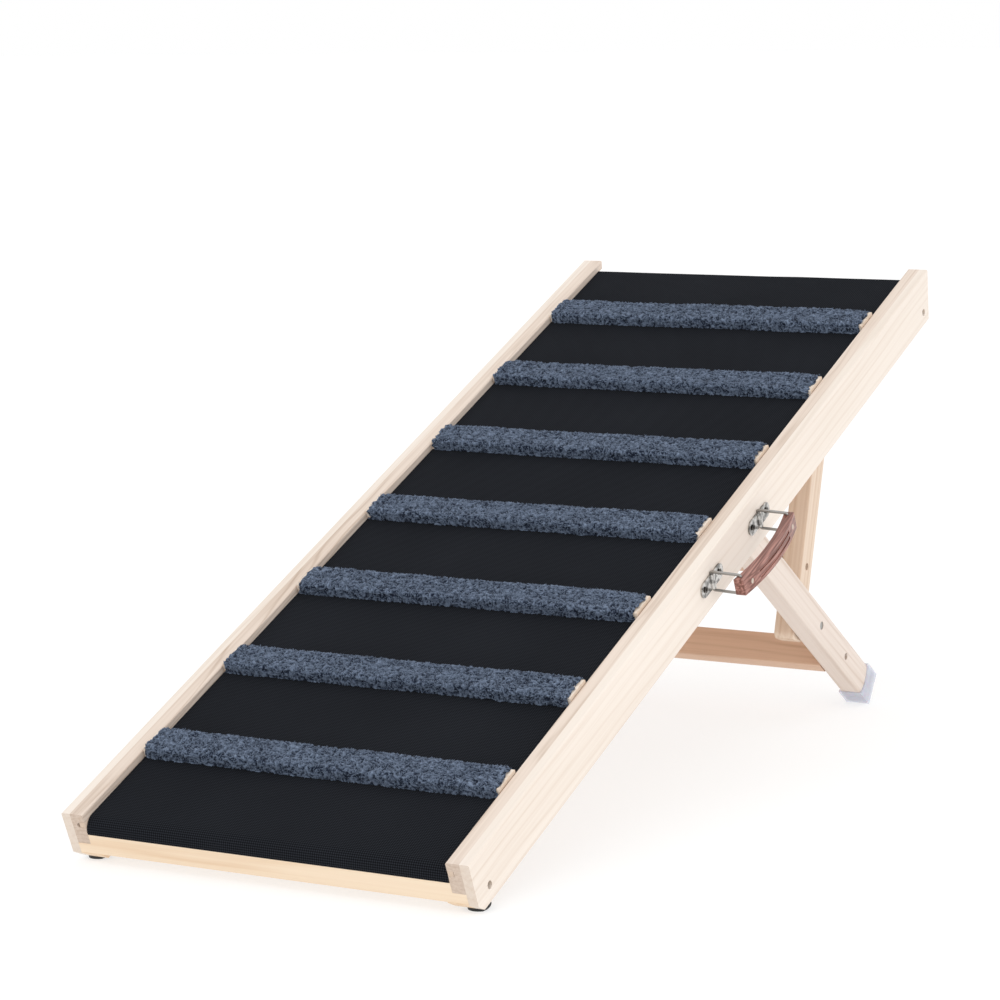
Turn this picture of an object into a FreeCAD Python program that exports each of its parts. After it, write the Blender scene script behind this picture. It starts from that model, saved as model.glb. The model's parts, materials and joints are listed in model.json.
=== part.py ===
"""Folding dog ramp: two wooden side rails with a fabric-covered deck and padded treads,
a leg frame and a strut frame that fold beneath it, and a carrying handle on one rail.

Every piece is drawn in the ramp's own frame: x across, y up along the rails, z square to
the deck, with the top edge of the low end at zero. Placements then lean the ramp back on
its legs, so that it stands on the floor at z = 0 with the middle of its overall box at
x = 0, y = 0.
"""
import FreeCAD, Part
import Sketcher
import math
import os
import re

SIZES = {
    # side rails: a full-height web with a thicker ledge block along its inner top edge
    "ramp_length": 1060.0,
    "ramp_width": 404.0,
    "rail_height": 50.0,
    "rail_thickness": 22.0,
    "web_thickness": 9.0,
    "ledge_depth": 30.0,
    "rail_edge_radius": 1.5,
    "rail_toe_length": 8.5,
    "rail_toe_height": 9.0,
    "rail_heel_slant": 16.0,
    # deck: a plywood board in the rails' grooves, covered with woven anti-slip fabric
    "deck_drop": 7.0,
    "fabric_thickness": 1.2,
    "board_thickness": 5.0,
    "groove_depth": 6.0,
    "groove_clearance": 0.1,
    "deck_end_gap": 12.0,
    "fabric_side_gap": 0.4,
    "nose_radius": 13.0,
    # cross members at both ends
    "crossbar_drop": 40.0,
    "crossbar_depth": 38.0,
    "crossbar_nose_depth": 24.0,
    "front_screw_shift": 3.5,
    "top_bar_drop": 43.0,
    "top_screw_inset": 10.0,
    "joint_clearance": 0.1,
    "foot_block_width": 20.0,
    "foot_block_length": 30.0,
    # treads: wooden slats wrapped in plush
    "first_tread": 100.0,
    "tread_pitch": 138.0,
    "slat_depth": 30.0,
    "slat_height": 9.8,
    "slat_side_gap": 0.5,
    "slat_edge_radius": 1.5,
    "plush_thickness": 2.0,
    "plush_end_gap": 2.5,
    # rubber pads under the low end
    "pad_radius": 10.0,
    "pad_thickness": 4.4,
    "pad_station": 18.5,
    "contact_crush": 1.0,
    # leg frame
    "leg_pivot_station": 598.0,
    "leg_head_gap": 2.8,
    "leg_length": 392.5,
    "leg_width": 32.0,
    "leg_thickness": 22.0,
    "leg_side_gap": 2.0,
    "leg_edge_radius": 2.5,
    "leg_bar_station": 313.0,
    "leg_bar_thickness": 16.0,
    "cap_wall": 1.4,
    "cap_floor": 2.5,
    "cap_height": 27.0,
    "cap_lip_dip": 5.0,
    "cap_clearance": 0.05,
    # strut frame
    "strut_pivot_station": 238.0,
    "strut_length": 256.7,
    "strut_tail": 18.0,
    "strut_tail_radius": 8.0,
    "strut_width": 28.0,
    "strut_thickness": 22.0,
    "strut_side_gap": 1.5,
    "strut_bar_station": 58.0,
    "strut_bar_thickness": 16.0,
    "strut_rod_radius": 4.0,
    # notched racks under the deck
    "notch_station": 888.4,
    "notch_pitch": 40.0,
    "notch_clearance": 0.3,
    "rack_thickness": 21.0,
    "rack_side_gap": 2.5,
    "rack_lip": 12.0,
    "rack_margin": 20.0,
    # pivots and their washers
    "pivot_radius": 4.0,
    "strut_pivot_radius": 3.0,
    "running_clearance": 0.05,
    "moving_gap": 0.3,
    "pivot_head_radius": 7.0,
    "pivot_head_depth": 4.0,
    "washer_radius": 10.0,
    "pivot_block_length": 46.0,
    "strut_head_radius": 4.2,
    "strut_head_depth": 2.5,
    "strut_nut_radius": 5.0,
    "strut_nut_length": 1.5,
    # wood screws
    "screw_radius": 2.0,
    "screw_head_radius": 3.6,
    "screw_length": 38.0,
    "screw_sink": 4.0,
    "tread_screw_length": 11.0,
    "tread_screw_cover": 1.0,
    # carrying handle on the right rail
    "handle_station": 535.8,
    "handle_drop": 25.2,
    "bail_spacing": 111.4,
    "bail_wire_radius": 1.4,
    "bail_width": 19.6,
    "bail_reach": 31.0,
    "bail_lean": 4.5,
    "bail_bend_margin": 0.2,
    "bracket_length": 48.0,
    "bracket_arm_gap": 0.9,
    "bracket_thickness": 1.5,
    "bracket_screw_spacing": 32.0,
    "strap_wall": 1.2,
    "bracket_screw_radius": 1.6,
    "bracket_screw_head_radius": 3.0,
    "bracket_screw_length": 11.0,
    "grip_length": 122.0,
    "grip_side_gap": 0.3,
    "grip_thickness": 9.5,
    "grip_bow": 7.0,
    "grip_groove_width": 3.0,
    "grip_groove_depth": 0.8,
    "rivet_radius": 2.6,
    "rivet_inset": 13.0,
}
TREAD_COUNT = 7
NOTCH_COUNT = 4
SIDES = {"left": -1, "right": 1}

doc = FreeCAD.newDocument("dog_ramp")
sheet = doc.addObject("Spreadsheet::Sheet", "Sizes")
for row, (alias, number) in enumerate(SIZES.items(), start=1):
    sheet.set(f"A{row}", alias)
    sheet.set(f"B{row}", str(number))
    sheet.setAlias(f"B{row}", alias)
doc.recompute()

pieces = []


# ---------------------------------------------------------------- helpers

def cells(expression):
    """An expression in which each size's name is a reference to its cell."""
    return re.sub(
        r"[a-z_]{3,}",
        lambda word: f"Sizes.{word.group()}" if word.group() in SIZES else word.group(),
        str(expression),
    )


def number(expression):
    """The present value of an expression."""
    return float(sheet.evalExpression(cells(expression)))


def bind(thing, **properties):
    """Binds properties to expressions; an underscore pair stands for a dot."""
    for name, expression in properties.items():
        thing.setExpression(name.replace("__", "."), cells(expression))


def keep(thing, label, placement):
    """Registers a finished sub-part under its label."""
    thing.Label = label
    thing.Placement = placement
    pieces.append(thing)
    return thing


def new_body(label, placement):
    return keep(doc.addObject("PartDesign::Body", label), label, placement)


def plane_of(body, role):
    return next(f for f in body.Origin.OriginFeatures if f.Role == role)


def outline(body, name, role, points, offset="0"):
    """A sketch of one closed outline, each corner held at its own two expressions."""
    sketch = body.newObject("Sketcher::SketchObject", name)
    sketch.AttachmentSupport = [(plane_of(body, role), "")]
    sketch.MapMode = "FlatFace"
    bind(sketch, AttachmentOffset__Base__z=offset)
    corners = [FreeCAD.Vector(number(u), number(v), 0) for u, v in points]
    count = len(corners)
    for i in range(count):
        sketch.addGeometry(Part.LineSegment(corners[i], corners[(i + 1) % count]), False)
    for i in range(count):
        sketch.addConstraint(Sketcher.Constraint("Coincident", i, 2, (i + 1) % count, 1))
    for i, (u, v) in enumerate(points):
        for kind, expression in (("DistanceX", u), ("DistanceY", v)):
            held = sketch.addConstraint(Sketcher.Constraint(kind, -1, 1, i, 1, number(expression)))
            sketch.setExpression(f"Constraints[{held}]", cells(expression))
    return sketch


def pad(body, sketch, length, midplane=False):
    feature = body.newObject("PartDesign::Pad", f"{sketch.Name}_pad")
    feature.Profile = sketch
    feature.Midplane = midplane
    bind(feature, Length=length)
    doc.recompute()
    return feature


def pocket_through(body, sketch, length):
    """A pocket cut equally to both sides of its sketch."""
    feature = body.newObject("PartDesign::Pocket", f"{sketch.Name}_pocket")
    feature.Profile = sketch
    feature.Midplane = True
    bind(feature, Length=length)
    doc.recompute()
    return feature


TURN = {
    "x": FreeCAD.Rotation(FreeCAD.Vector(0, 1, 0), 90),
    "y": FreeCAD.Rotation(FreeCAD.Vector(1, 0, 0), -90),
    "z": FreeCAD.Rotation(),
}


def locate(feature, corner, rotation):
    feature.Placement = FreeCAD.Placement(FreeCAD.Vector(), rotation)
    x, y, z = corner
    bind(feature, Placement__Base__x=x, Placement__Base__y=y, Placement__Base__z=z)
    return feature


def block(owner, name, kind, corner, size, rotation=FreeCAD.Rotation()):
    """A box from its low corner and its three sizes."""
    make = owner.newObject if kind.startswith("PartDesign") else owner.addObject
    feature = make(kind, name)
    bind(feature, Length=size[0], Width=size[1], Height=size[2])
    return locate(feature, corner, rotation)


def round_bar(owner, name, kind, axis, start, radius, length):
    """A cylinder that starts at a point and runs along +axis."""
    make = owner.newObject if kind.startswith("PartDesign") else owner.addObject
    feature = make(kind, name)
    bind(feature, Radius=radius, Height=length)
    return locate(feature, start, TURN[axis])


ADD_BOX = "PartDesign::AdditiveBox"
CUT_BOX = "PartDesign::SubtractiveBox"
ADD_ROUND = "PartDesign::AdditiveCylinder"
CUT_ROUND = "PartDesign::SubtractiveCylinder"


def round_edges(body, radius, wanted):
    """Fillets the edges of the body's tip for which wanted(edge) is true."""
    doc.recompute()
    base = body.Tip
    names = [f"Edge{i}" for i, edge in enumerate(base.Shape.Edges, start=1) if wanted(edge)]
    feature = body.newObject("PartDesign::Fillet", f"{body.Name}_rounding")
    feature.Base = (base, names)
    bind(feature, Radius=radius)
    doc.recompute()
    return feature


def runs_along(edge, axis):
    """True for a straight edge parallel to the axis with index 0, 1 or 2."""
    if edge.Curve.TypeId != "Part::GeomLine":
        return False
    step = edge.lastVertex().Point - edge.firstVertex().Point
    return abs(step[axis]) > 0.999 * step.Length


def fuse(name, parts):
    feature = doc.addObject("Part::MultiFuse", name)
    feature.Shapes = parts
    return feature


def cut(name, base, tool):
    feature = doc.addObject("Part::Cut", name)
    feature.Base = base
    feature.Tool = tool
    return feature


def group(label, parts, placement):
    """Identical fasteners in one node, each a solid of its own."""
    feature = doc.addObject("Part::Compound", label)
    feature.Links = parts
    return keep(feature, label, placement)


def screw(name, start, axis, direction, length, radius="screw_radius", head="screw_head_radius"):
    """A countersunk cross-head screw: its head's face is at start, and it runs along
    the axis in the given direction (+1 or -1)."""
    heading = FreeCAD.Vector(*[direction * (axis == letter) for letter in "xyz"])
    turn = FreeCAD.Rotation(FreeCAD.Vector(0, 0, 1), heading)
    cone = doc.addObject("Part::Cone", f"{name}_head")
    bind(cone, Radius1=head, Radius2=radius, Height=f"{head} - {radius}")
    shank = doc.addObject("Part::Cylinder", f"{name}_shank")
    bind(shank, Radius=radius, Height=f"{length} - 2 * {radius}")
    point = doc.addObject("Part::Cone", f"{name}_point")
    bind(point, Radius1=radius, Radius2=f"{radius} / 8", Height=f"2 * {radius}")
    bind(point, Placement__Base__z=f"{length} - 2 * {radius}")
    bars = []
    for turned, (wide, narrow) in enumerate((("1.1", "0.22"), ("0.22", "1.1"))):
        bars.append(block(
            doc, f"{name}_slot{turned}", "Part::Box",
            (f"-{head} * {wide} / 2", f"-{head} * {narrow} / 2", "-1"),
            (f"{head} * {wide}", f"{head} * {narrow}", f"1 + ({head} - {radius}) * 0.8"),
        ))
    stock = fuse(f"{name}_stock", [cone, shank, point])
    return locate(cut(f"{name}_screw", stock, fuse(f"{name}_cross", bars)), start, turn)


# ---------------------------------------------------------------- how the linkage stands

HALF = "ramp_width / 2"
RAIL_FACE = "ramp_width / 2 - rail_thickness"
WEB_FACE = "ramp_width / 2 - web_thickness"
FABRIC_TOP = "-deck_drop"
BOARD_TOP = "-deck_drop - fabric_thickness"
BOARD_BOTTOM = "-deck_drop - fabric_thickness - board_thickness"
PIVOT_DROP = "(deck_drop + fabric_thickness + board_thickness + leg_width / 2 + leg_head_gap)"
RACK_DROP = f"({PIVOT_DROP} + rack_lip)"
LEG_OUTER = "ramp_width / 2 - rail_thickness - leg_side_gap"
LEG_INNER = f"{LEG_OUTER} - leg_thickness"
STRUT_OUTER = f"{LEG_INNER} - strut_side_gap"
STRUT_INNER = f"{STRUT_OUTER} - strut_thickness"
RACK_OUTER = f"{STRUT_INNER} - rack_side_gap"
GRIP_CENTRE = f"{HALF} + bail_wire_radius + running_clearance + bail_reach"


def solve_linkage():
    """The leg's and strut's angles from the triangle of leg pivot, strut pivot and notch,
    and the ramp's slope and height from the two corners that touch the floor."""
    leg_arm = number("strut_pivot_station")
    strut_arm = number("strut_length")
    pivot = FreeCAD.Vector(0, number("leg_pivot_station"), -number(PIVOT_DROP))
    notch = FreeCAD.Vector(0, number("notch_station"), -number(PIVOT_DROP))
    base = (notch - pivot).Length
    tilt = math.atan2(notch.z - pivot.z, notch.y - pivot.y)
    leg_angle = tilt - math.acos((leg_arm**2 + base**2 - strut_arm**2) / (2 * leg_arm * base))
    knee = pivot + FreeCAD.Vector(0, math.cos(leg_angle), math.sin(leg_angle)) * leg_arm
    strut_angle = math.atan2(notch.z - knee.z, notch.y - knee.y)
    along = FreeCAD.Vector(0, math.cos(leg_angle), math.sin(leg_angle))
    below = FreeCAD.Vector(0, math.sin(leg_angle), -math.cos(leg_angle))
    foot, half_foot = number("leg_length + cap_floor"), number("leg_width / 2 + cap_wall")
    heel = pivot + along * foot + below * half_foot
    toe = FreeCAD.Vector(0, number("pad_station - pad_radius"), -number("rail_height + pad_thickness"))
    slope = math.atan2(toe.z - heel.z, heel.y - toe.y)
    turn = FreeCAD.Rotation(FreeCAD.Vector(1, 0, 0), math.degrees(slope))
    low = turn.multVec(FreeCAD.Vector())
    high = max(turn.multVec(FreeCAD.Vector(0, number("ramp_length"), 0)).y,
               turn.multVec(FreeCAD.Vector(0, number("ramp_length - rail_heel_slant"),
                                           -number("rail_height"))).y)
    overhang = number(f"{GRIP_CENTRE} + grip_thickness / 2 + grip_bow - {HALF}")
    rise = -turn.multVec(toe).z - number("contact_crush")
    ramp = FreeCAD.Placement(FreeCAD.Vector(-overhang / 2, -(low.y + high) / 2, rise), turn)
    leg = ramp * FreeCAD.Placement(
        pivot, FreeCAD.Rotation(FreeCAD.Vector(1, 0, 0), math.degrees(leg_angle)))
    strut = ramp * FreeCAD.Placement(
        knee, FreeCAD.Rotation(FreeCAD.Vector(1, 0, 0), math.degrees(strut_angle)))
    return ramp, leg, strut, math.degrees(leg_angle), math.degrees(strut_angle)


RAMP, LEG, STRUT, leg_degrees, strut_degrees = solve_linkage()


def floor_tool(name, placement):
    """A large block whose top is the floor, in the frame of a placement."""
    tool = doc.addObject("Part::Box", name)
    bind(tool, Length="4 * ramp_width", Width="4 * ramp_length", Height="rail_height")
    corner = FreeCAD.Vector(-2 * number("ramp_width"), -2 * number("ramp_length"), -number("rail_height"))
    tool.Placement = placement.inverse() * FreeCAD.Placement(corner, FreeCAD.Rotation())
    return tool


# ---------------------------------------------------------------- rails and cross members

def trim_ends(body, name):
    """Cuts the low end's toe and slopes the top end."""
    toe = outline(body, f"{name}_toe", "YZ_Plane", [
        ("-1", "-rail_height + rail_toe_height"), ("0", "-rail_height + rail_toe_height"),
        ("rail_toe_length", "-rail_height"), ("rail_toe_length", "-rail_height - 1"),
        ("-1", "-rail_height - 1"),
    ])
    pocket_through(body, toe, "2 * ramp_width")
    heel = outline(body, f"{name}_heel", "YZ_Plane", [
        ("ramp_length", "0"), ("ramp_length + 1", "0"), ("ramp_length + 1", "-rail_height"),
        ("ramp_length - rail_heel_slant", "-rail_height"),
    ])
    pocket_through(body, heel, "2 * ramp_width")


def pad_along(body, section):
    """Pads a cross-section from the low end up the whole ramp."""
    stem = pad(body, section, "ramp_length")
    if stem.Shape.BoundBox.YMax < 1:
        stem.Reversed = True
        doc.recompute()


def make_rail(side, sign):
    """The full-height outer board of one side, with its screws' counterbores."""
    body = new_body(f"{side}_rail", RAMP)
    web = f"{sign} * ({WEB_FACE})"
    outer = f"{sign} * ({HALF})"
    pad_along(body, outline(body, f"{side}_rail_section", "XZ_Plane", [
        (outer, "0"), (outer, "-rail_height"), (web, "-rail_height"), (web, "0")]))
    trim_ends(body, f"{side}_rail")
    for index, (station, drop) in enumerate(RAIL_SCREWS):
        round_bar(
            body, f"{side}_rail_hole{index}", CUT_ROUND, "x",
            (f"{outer} - ({sign} + 1) / 2 * screw_sink", station, drop),
            "screw_head_radius", "screw_sink")
    face = number(outer)
    round_edges(body, "rail_edge_radius", lambda e: (
        runs_along(e, 1) and abs(e.BoundBox.XMax - face) < 1e-6))


def make_ledge(side, sign):
    """The block glued inside one rail, with the groove that holds the deck's board."""
    body = new_body(f"{side}_ledge", RAMP)
    inner = f"{sign} * ({RAIL_FACE})"
    web = f"{sign} * ({WEB_FACE})"
    groove = f"{sign} * ({RAIL_FACE} + groove_depth)"
    groove_top = f"{BOARD_TOP} + groove_clearance"
    groove_bottom = f"{BOARD_BOTTOM} - groove_clearance"
    pad_along(body, outline(body, f"{side}_ledge_section", "XZ_Plane", [
        (web, "0"), (web, "-ledge_depth"), (inner, "-ledge_depth"), (inner, groove_bottom),
        (groove, groove_bottom), (groove, groove_top), (inner, groove_top), (inner, "0"),
    ]))
    trim_ends(body, f"{side}_ledge")
    start = f"{web} - ({sign} + 1) / 2 * (rail_thickness - web_thickness)"
    round_bar(
        body, f"{side}_ledge_pivot_relief", CUT_ROUND, "x",
        (start, "leg_pivot_station", f"-{PIVOT_DROP}"),
        "pivot_radius + moving_gap", "rail_thickness - web_thickness")
    if side == "left":
        round_bar(
            body, "left_ledge_end_hole", CUT_ROUND, "y",
            (f"{inner} - 0.3 * rail_thickness", "0", "-0.22 * rail_height"),
            "screw_radius", "2 * screw_sink")
    face = number(inner)
    round_edges(body, "rail_edge_radius", lambda e: (
        runs_along(e, 1) and abs(e.BoundBox.XMax - face) < 1e-6 and abs(e.BoundBox.ZMax) < 1e-6))


FRONT_SCREW = ("crossbar_depth / 2 + front_screw_shift", "-(ledge_depth + crossbar_drop) / 2")
TOP_SCREW = ("ramp_length - rail_heel_slant - top_screw_inset", "-(ledge_depth + top_bar_drop) / 2")
RAIL_SCREWS = [FRONT_SCREW, TOP_SCREW]


def make_front_crossbar():
    """The low end's cross member: a tongue that passes below both ledges, and above it a
    rounded nose that carries the deck's fabric."""
    body = new_body("front_crossbar", RAMP)
    wide = f"2 * ({WEB_FACE} - joint_clearance)"
    narrow = f"2 * ({RAIL_FACE} - joint_clearance)"
    ledge = "-ledge_depth - joint_clearance"
    nose_z = "-deck_drop - nose_radius"
    block(body, "front_tongue", ADD_BOX, (f"-({wide}) / 2", "0", "-crossbar_drop"),
          (wide, "crossbar_depth", f"crossbar_drop + ({ledge})"))
    block(body, "front_strip", ADD_BOX, (f"-({narrow}) / 2", "0", ledge),
          (narrow, "crossbar_nose_depth", f"({nose_z}) - ({ledge})"))
    round_bar(body, "front_nose", ADD_ROUND, "x", (f"-({narrow}) / 2", "nose_radius", nose_z),
              "nose_radius - fabric_thickness", narrow)
    block(body, "front_seat", ADD_BOX, (f"-({narrow}) / 2", "nose_radius", nose_z),
          (narrow, "crossbar_nose_depth - nose_radius", f"({BOARD_BOTTOM}) - ({nose_z})"))
    block(body, "board_rebate", CUT_BOX, (f"-({narrow}) / 2", "nose_radius", BOARD_BOTTOM),
          (narrow, "2 * nose_radius", "nose_radius"))
    doc.recompute()


def make_top_crossbar():
    body = new_body("top_crossbar", RAMP)
    wide = f"2 * ({WEB_FACE} - joint_clearance)"
    narrow = f"2 * ({RAIL_FACE} - joint_clearance)"
    ledge = "-ledge_depth - joint_clearance"
    start = "ramp_length - rail_heel_slant - crossbar_depth"
    block(body, "top_tongue", ADD_BOX, (f"-({wide}) / 2", start, "-top_bar_drop"),
          (wide, "crossbar_depth", f"top_bar_drop + ({ledge})"))
    block(body, "top_seat", ADD_BOX,
          (f"-({narrow}) / 2", f"{start} + crossbar_depth - crossbar_nose_depth", ledge),
          (narrow, "crossbar_nose_depth", f"({BOARD_BOTTOM}) - ({ledge})"))
    doc.recompute()


def make_foot_block(side, sign):
    """A small block in the corner of web and crossbar that widens the pad's seat."""
    body = new_body(f"{side}_foot_block", RAMP)
    profile = [
        ("0", "-rail_height + rail_toe_height"), ("0", "-crossbar_drop"),
        ("foot_block_length", "-crossbar_drop"), ("foot_block_length", "-rail_height"),
        ("rail_toe_length", "-rail_height"),
    ]
    section = outline(body, f"{side}_foot_block_section", "YZ_Plane", profile,
                      f"{sign} * ({WEB_FACE} - foot_block_width / 2)")
    pad(body, section, "foot_block_width", midplane=True)


def make_front_pad(side, sign):
    """A rubber pad under the rail's toe, flattened where it meets the floor."""
    disc = round_bar(doc, f"{side}_pad_disc", "Part::Cylinder", "z",
                     (f"{sign} * ({HALF} - rail_thickness / 2 - 1)", "pad_station",
                      "-rail_height - pad_thickness"),
                     "pad_radius", "pad_thickness")
    keep(cut(f"{side}_front_pad", disc, floor_tool(f"{side}_pad_floor", RAMP)),
         f"{side}_front_pad", RAMP)


def make_pivot_block(side, sign):
    """A hardwood block under the ledge that holds the leg's pivot bolt."""
    body = new_body(f"{side}_pivot_block", RAMP)
    low = f"{RAIL_FACE}"
    high = f"{WEB_FACE} - joint_clearance"
    corner = low if sign > 0 else f"-({high})"
    block(body, f"{side}_pivot_block_stock", ADD_BOX,
          (corner, "leg_pivot_station - pivot_block_length / 2", "-rail_height"),
          (f"({high}) - ({low})", "pivot_block_length", "rail_height - ledge_depth - joint_clearance"))
    round_bar(body, f"{side}_pivot_block_bore", CUT_ROUND, "x",
              (corner, "leg_pivot_station", f"-{PIVOT_DROP}"), "pivot_radius", "rail_thickness")
    doc.recompute()


# ---------------------------------------------------------------- deck and treads

def make_deck_board():
    """The plywood sheet. Its long edges run on in the grooves past the front crossbar, to
    the low end."""
    body = new_body("deck_board", RAMP)
    half = f"({RAIL_FACE} + groove_depth - 5 * groove_clearance)"
    inner = f"({RAIL_FACE} + groove_clearance)"
    block(body, "deck_board_sheet", ADD_BOX, (f"-{half}", "nose_radius", BOARD_BOTTOM),
          (f"2 * {half}", "ramp_length - deck_end_gap - nose_radius", "board_thickness"))
    for side, corner in (("left", f"-{half}"), ("right", inner)):
        block(body, f"deck_board_{side}_tongue", ADD_BOX, (corner, "joint_clearance", BOARD_BOTTOM),
              (f"{half} - {inner}", "nose_radius", "board_thickness"))
    doc.recompute()


def make_deck_fabric():
    """The woven sheet: flat over the board, then turned down over the nose."""
    half = f"({RAIL_FACE} - fabric_side_gap)"
    flat = block(doc, "fabric_flat", "Part::Box", (f"-{half}", "nose_radius", BOARD_TOP),
                 (f"2 * {half}", "ramp_length - deck_end_gap - nose_radius", "fabric_thickness"))
    centre = (f"-{half}", "nose_radius", "-deck_drop - nose_radius")
    outside = round_bar(doc, "fabric_outside", "Part::Cylinder", "x", centre,
                        "nose_radius", f"2 * {half}")
    inside = round_bar(doc, "fabric_inside", "Part::Cylinder", "x", centre,
                       "nose_radius - fabric_thickness", f"2 * {half}")
    quarter = block(doc, "fabric_quarter", "Part::Box",
                    (f"-{half}", "0", "-deck_drop - nose_radius"),
                    (f"2 * {half}", "nose_radius", "nose_radius"))
    turned = doc.addObject("Part::Common", "fabric_turned")
    turned.Base = cut("fabric_ring", outside, inside)
    turned.Tool = quarter
    keep(fuse("deck_fabric", [flat, turned]), "deck_fabric", RAMP)


def make_tread(index):
    """One tread: a wooden slat on the fabric, wrapped over its top and both long sides."""
    start = f"first_tread + {index} * tread_pitch"
    half = f"({RAIL_FACE} - slat_side_gap)"
    slat = new_body(f"tread_slat_{index + 1}", RAMP)
    block(slat, f"slat_{index + 1}_stock", ADD_BOX, (f"-{half}", start, FABRIC_TOP),
          (f"2 * {half}", "slat_depth", "slat_height"))
    round_edges(slat, "slat_edge_radius", lambda e: (
        runs_along(e, 0) and e.BoundBox.ZMax > number(f"{FABRIC_TOP} + slat_height / 2")))
    cover = new_body(f"tread_plush_{index + 1}", RAMP)
    low, high = f"{start} - plush_thickness", f"{start} + slat_depth + plush_thickness"
    top = f"{FABRIC_TOP} + slat_height"
    profile = [
        (low, FABRIC_TOP), (start, FABRIC_TOP), (start, top), (f"{start} + slat_depth", top),
        (f"{start} + slat_depth", FABRIC_TOP), (high, FABRIC_TOP),
        (high, f"{top} + plush_thickness"), (low, f"{top} + plush_thickness"),
    ]
    section = outline(cover, f"plush_{index + 1}_section", "YZ_Plane", profile)
    pad(cover, section, f"2 * ({half} - plush_end_gap)", midplane=True)


def make_tread_screws():
    """Two screws a tread, driven up flush through the board before the racks go
    over the edge of their heads."""
    screws = []
    for index in range(TREAD_COUNT):
        station = f"first_tread + {index} * tread_pitch + slat_depth / 2"
        for side, sign in SIDES.items():
            across = f"{sign} * ({RACK_OUTER} - rack_thickness + tread_screw_cover)"
            screws.append(screw(f"{side}_tread_{index + 1}", (across, station, BOARD_BOTTOM),
                                "z", 1, "tread_screw_length"))
    group("tread_screws", screws, RAMP)


# ---------------------------------------------------------------- racks

def make_rack(side, sign):
    """A board under the deck with a row of slanting notches for the strut's rod."""
    body = new_body(f"{side}_rack", RAMP)
    last = "notch_station + rack_margin"
    first = f"notch_station - {NOTCH_COUNT - 1} * notch_pitch - 1.6 * rack_margin"
    profile = [
        (first, BOARD_BOTTOM), (last, BOARD_BOTTOM), (last, f"-{RACK_DROP} + rack_margin / 2"),
        (f"{last} - rack_margin / 4", f"-{RACK_DROP}"), (f"{first} + rack_margin / 2", f"-{RACK_DROP}"),
        (first, f"-{RACK_DROP} + rack_margin / 2"),
    ]
    section = outline(body, f"{side}_rack_section", "YZ_Plane", profile,
                      f"{sign} * ({RACK_OUTER} - rack_thickness / 2)")
    pad(body, section, "rack_thickness", midplane=True)
    start = f"{sign} * ({RACK_OUTER} - rack_thickness / 2) - rack_thickness"
    turn = FreeCAD.Rotation(FreeCAD.Vector(1, 0, 0), NOTCH_LEAN)
    reach = FreeCAD.Vector(0, math.cos(math.radians(NOTCH_LEAN)), math.sin(math.radians(NOTCH_LEAN)))
    radius = "(strut_rod_radius + notch_clearance)"
    for index in range(NOTCH_COUNT):
        station = f"notch_station - {index} * notch_pitch"
        round_bar(body, f"{side}_seat_{index}", CUT_ROUND, "x", (start, station, f"-{PIVOT_DROP}"),
                  radius, "2 * rack_thickness")
        block(body, f"{side}_throat_{index}", CUT_BOX,
              (start, f"{station} + {radius} * {reach.y:.6f}", f"-{PIVOT_DROP} + {radius} * {reach.z:.6f}"),
              ("2 * rack_thickness", f"2 * {radius}", RACK_DROP),
              turn * FreeCAD.Rotation(FreeCAD.Vector(1, 0, 0), 180))
    doc.recompute()


def notch_lean():
    """The slant at which the rod leaves its notch as the legs start to fold: the
    direction of the sum of the leg's and the strut's turning velocities."""
    fold = 180 + leg_degrees
    leg_speed = math.radians(fold) * number("strut_pivot_station")
    strut_speed = math.radians(strut_degrees) * number("strut_length")
    leg_at, strut_at = math.radians(leg_degrees), math.radians(strut_degrees)
    run = leg_speed * math.sin(leg_at) + strut_speed * math.sin(strut_at)
    drop = -leg_speed * math.cos(leg_at) - strut_speed * math.cos(strut_at)
    return math.degrees(math.atan2(drop, run)) + 90


NOTCH_LEAN = notch_lean()


# ---------------------------------------------------------------- leg frame

def make_leg(side, sign):
    """One leg: rounded at its pivot, square at its foot."""
    body = new_body(f"{side}_leg", LEG)
    middle = f"{sign} * ({LEG_OUTER} - leg_thickness / 2)"
    section = outline(body, f"{side}_leg_section", "YZ_Plane", [
        ("0", "-leg_width / 2"), ("leg_length", "-leg_width / 2"),
        ("leg_length", "leg_width / 2"), ("0", "leg_width / 2")], middle)
    pad(body, section, "leg_thickness", midplane=True)
    start = f"{middle} - leg_thickness / 2"
    round_bar(body, f"{side}_leg_head", ADD_ROUND, "x", (start, "0", "0"), "leg_width / 2", "leg_thickness")
    round_edges(body, "leg_edge_radius", lambda e: runs_along(e, 1))
    round_bar(body, f"{side}_leg_bore", CUT_ROUND, "x", (start, "0", "0"),
              "pivot_radius + running_clearance", "leg_thickness")
    depth = "(pivot_head_depth + moving_gap)"
    round_bar(body, f"{side}_leg_head_seat", CUT_ROUND, "x",
              (start if sign > 0 else f"{start} + leg_thickness - {depth}", "0", "0"),
              "pivot_head_radius + moving_gap", depth)
    round_bar(body, f"{side}_leg_strut_bore", CUT_ROUND, "x", (start, "strut_pivot_station", "0"),
              "strut_pivot_radius", "leg_thickness")
    for name, station, radius, sink in (
        ("strut", "strut_pivot_station", "strut_head_radius", "strut_head_depth"),
        ("screw", "leg_bar_station", "screw_head_radius", "screw_sink"),
    ):
        outside = f"{start} + leg_thickness - {sink}" if sign > 0 else start
        round_bar(body, f"{side}_leg_{name}_sink", CUT_ROUND, "x", (outside, station, "0"), radius, sink)
    doc.recompute()


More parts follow.
